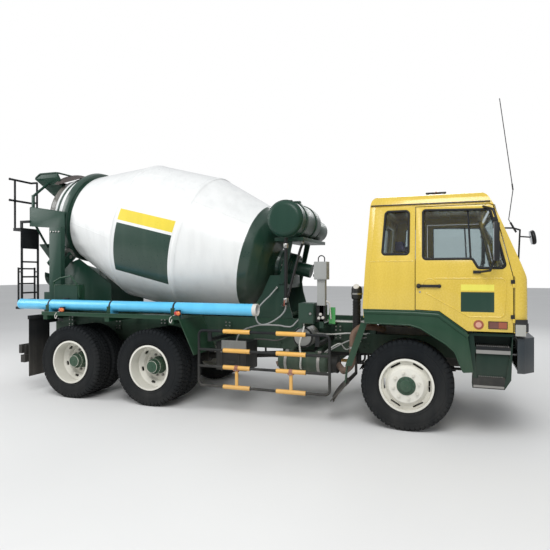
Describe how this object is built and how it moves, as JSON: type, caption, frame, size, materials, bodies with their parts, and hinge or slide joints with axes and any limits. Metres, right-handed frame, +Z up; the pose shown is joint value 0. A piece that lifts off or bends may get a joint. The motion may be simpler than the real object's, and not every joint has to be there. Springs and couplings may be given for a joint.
{
  "type": "concrete mixer truck",
  "caption": "Three-axle concrete mixer truck with a tilting cab, a tilted revolving drum, a charge hopper and a folding discharge chute.",
  "frame": {"origin": "on the ground, midway between the truck's front and rear ends and its two sides", "axes": "+X forward, +Y to the truck's left, +Z up"},
  "size_m": [7.7748, 2.9, 4.3308],
  "materials": {
    "green_paint": "satin",
    "dark_green_paint": "satin",
    "black_paint": "satin",
    "grey_metal": "matte",
    "yellow_paint": "gloss",
    "cream_paint": "satin",
    "white_paint": "satin",
    "tyre_rubber": "matte",
    "rusty_steel": "matte",
    "blue_plastic": "satin",
    "window_glass": "clear",
    "trim_plastic": "matte",
    "cloth": "matte",
    "rubber_sheet": "matte"
  },
  "bodies": {
    "chassis": {"frame_rails": "dark_green_paint", "subframe": "green_paint", "engine": "grey_metal", "front_axle": "black_paint", "rear_axles": "black_paint", "springs": "black_paint", "side_tanks": "green_paint", "battery_box": "black_paint", "side_guards": "black_paint", "rear_fenders": "green_paint", "mud_flaps": "rubber_sheet", "front_bumper": "black_paint", "rear_bumper": "black_paint", "front_pedestal": "dark_green_paint", "drum_drive": "black_paint", "water_tank": "green_paint", "rear_pedestal": "dark_green_paint", "hopper": "dark_green_paint", "discharge_funnel": "dark_green_paint", "platform": "black_paint", "side_pipe": "blue_plastic", "exhaust": "rusty_steel", "control_stand": "green_paint", "hoses": "rubber_sheet"},
    "cab": {"cab_floor": "yellow_paint", "cab_side_left": "yellow_paint", "cab_side_right": "yellow_paint", "cab_roof": "yellow_paint", "cab_front": "yellow_paint", "cab_interior": "trim_plastic", "cab_fenders": "green_paint", "cab_glass": "window_glass", "cab_fittings": "trim_plastic", "seats": "cloth"},
    "door_left": {"door_left": "yellow_paint", "door_glass_left": "window_glass"},
    "door_right": {"door_right": "yellow_paint", "door_glass_right": "window_glass"},
    "drum": {"drum": "white_paint"},
    "roller_left": {"roller_left": "grey_metal"},
    "roller_right": {"roller_right": "grey_metal"},
    "knuckle_left": {"knuckle_left": "black_paint"},
    "knuckle_right": {"knuckle_right": "black_paint"},
    "tie_rod": {"tie_rod": "black_paint"},
    "chute_bracket": {"chute_bracket": "dark_green_paint"},
    "chute": {"chute": "dark_green_paint"},
    "chute_extension": {"chute_extension": "dark_green_paint"},
    "ladder_lower": {"ladder_lower": "black_paint"},
    "wheel_front_left": {"tyre_front_left": "tyre_rubber", "rim_front_left": "cream_paint"},
    "wheel_front_right": {"tyre_front_right": "tyre_rubber", "rim_front_right": "cream_paint"},
    "wheel_middle_left": {"tyre_middle_left": "tyre_rubber", "rim_middle_left": "cream_paint"},
    "wheel_middle_right": {"tyre_middle_right": "tyre_rubber", "rim_middle_right": "cream_paint"},
    "wheel_rear_left": {"tyre_rear_left": "tyre_rubber", "rim_rear_left": "cream_paint"},
    "wheel_rear_right": {"tyre_rear_right": "tyre_rubber", "rim_rear_right": "cream_paint"}
  },
  "joints": [
    {"name": "cab_tilt", "type": "hinge", "parent": "chassis", "child": "cab", "pos_m": [3.458, 0, 1.125], "axis": [0, 1, 0], "range_deg": [0, 45]},
    {"name": "door_left_open", "type": "hinge", "parent": "cab", "child": "door_left", "pos_m": [3.362, 1.255, 1.5], "axis": [0, 0, -1], "range_deg": [0, 65]},
    {"name": "door_right_open", "type": "hinge", "parent": "cab", "child": "door_right", "pos_m": [3.362, -1.255, 1.5], "axis": [0, 0, 1], "range_deg": [0, 65]},
    {"name": "steer_left", "type": "hinge", "parent": "chassis", "child": "knuckle_left", "pos_m": [2.286, 0.905, 0.51], "axis": [0, 0, 1], "range_deg": [-35, 35]},
    {"name": "steer_right", "type": "hinge", "parent": "chassis", "child": "knuckle_right", "pos_m": [2.286, -0.905, 0.51], "axis": [0, 0, 1], "range_deg": [-35, 35]},
    {"name": "tie_rod_shift", "type": "slide", "parent": "chassis", "child": "tie_rod", "axis": [0, 1, 0], "range_m": [-0.107, 0.107]},
    {"name": "wheel_front_left_spin", "type": "hinge", "parent": "knuckle_left", "child": "wheel_front_left", "pos_m": [2.286, 1.01, 0.51], "axis": [0, 1, 0], "continuous": true},
    {"name": "wheel_front_right_spin", "type": "hinge", "parent": "knuckle_right", "child": "wheel_front_right", "pos_m": [2.286, -1.01, 0.51], "axis": [0, 1, 0], "continuous": true},
    {"name": "wheel_middle_left_spin", "type": "hinge", "parent": "chassis", "child": "wheel_middle_left", "pos_m": [-1.034, 0.922, 0.51], "axis": [0, 1, 0], "continuous": true},
    {"name": "wheel_middle_right_spin", "type": "hinge", "parent": "chassis", "child": "wheel_middle_right", "pos_m": [-1.034, -0.922, 0.51], "axis": [0, 1, 0], "continuous": true},
    {"name": "wheel_rear_left_spin", "type": "hinge", "parent": "chassis", "child": "wheel_rear_left", "pos_m": [-2.334, 0.922, 0.51], "axis": [0, 1, 0], "continuous": true},
    {"name": "wheel_rear_right_spin", "type": "hinge", "parent": "chassis", "child": "wheel_rear_right", "pos_m": [-2.334, -0.922, 0.51], "axis": [0, 1, 0], "continuous": true},
    {"name": "drum_spin", "type": "hinge", "parent": "chassis", "child": "drum", "pos_m": [-2.816, 0, 2.68], "axis": [0.9722, 0, -0.2341], "continuous": true},
    {"name": "roller_left_spin", "type": "hinge", "parent": "chassis", "child": "roller_left", "pos_m": [-3.02344, 0.55183, 2.05351], "axis": [0.9722, 0, -0.2341], "continuous": true},
    {"name": "roller_right_spin", "type": "hinge", "parent": "chassis", "child": "roller_right", "pos_m": [-3.02344, -0.55183, 2.05351], "axis": [0.9722, 0, -0.2341], "continuous": true},
    {"name": "chute_swivel", "type": "hinge", "parent": "chassis", "child": "chute_bracket", "pos_m": [-3.604, 0, 1.3], "axis": [0, 0, 1], "range_deg": [0, 100]},
    {"name": "chute_tilt", "type": "hinge", "parent": "chute_bracket", "child": "chute", "pos_m": [-3.604, 0, 1.47], "axis": [-1, 0, 0], "range_deg": [-8, 22]},
    {"name": "chute_fold", "type": "hinge", "parent": "chute", "child": "chute_extension", "pos_m": [-3.604, 1.04485, 1.55325], "axis": [-1, 0, 0], "range_deg": [0, 180]},
    {"name": "ladder_fold", "type": "hinge", "parent": "chassis", "child": "ladder_lower", "pos_m": [-3.744, -0.6125, 1.22], "axis": [0, -1, 0], "range_deg": [0, 175]}
  ],
  "couplings": [
    {"joint": "steer_right", "follows": "steer_left", "ratio": 1},
    {"joint": "tie_rod_shift", "follows": "steer_left", "m_per_rad": -0.175},
    {"joint": "roller_left_spin", "follows": "drum_spin", "ratio": -6.15},
    {"joint": "roller_right_spin", "follows": "drum_spin", "ratio": -6.15}
  ]
}
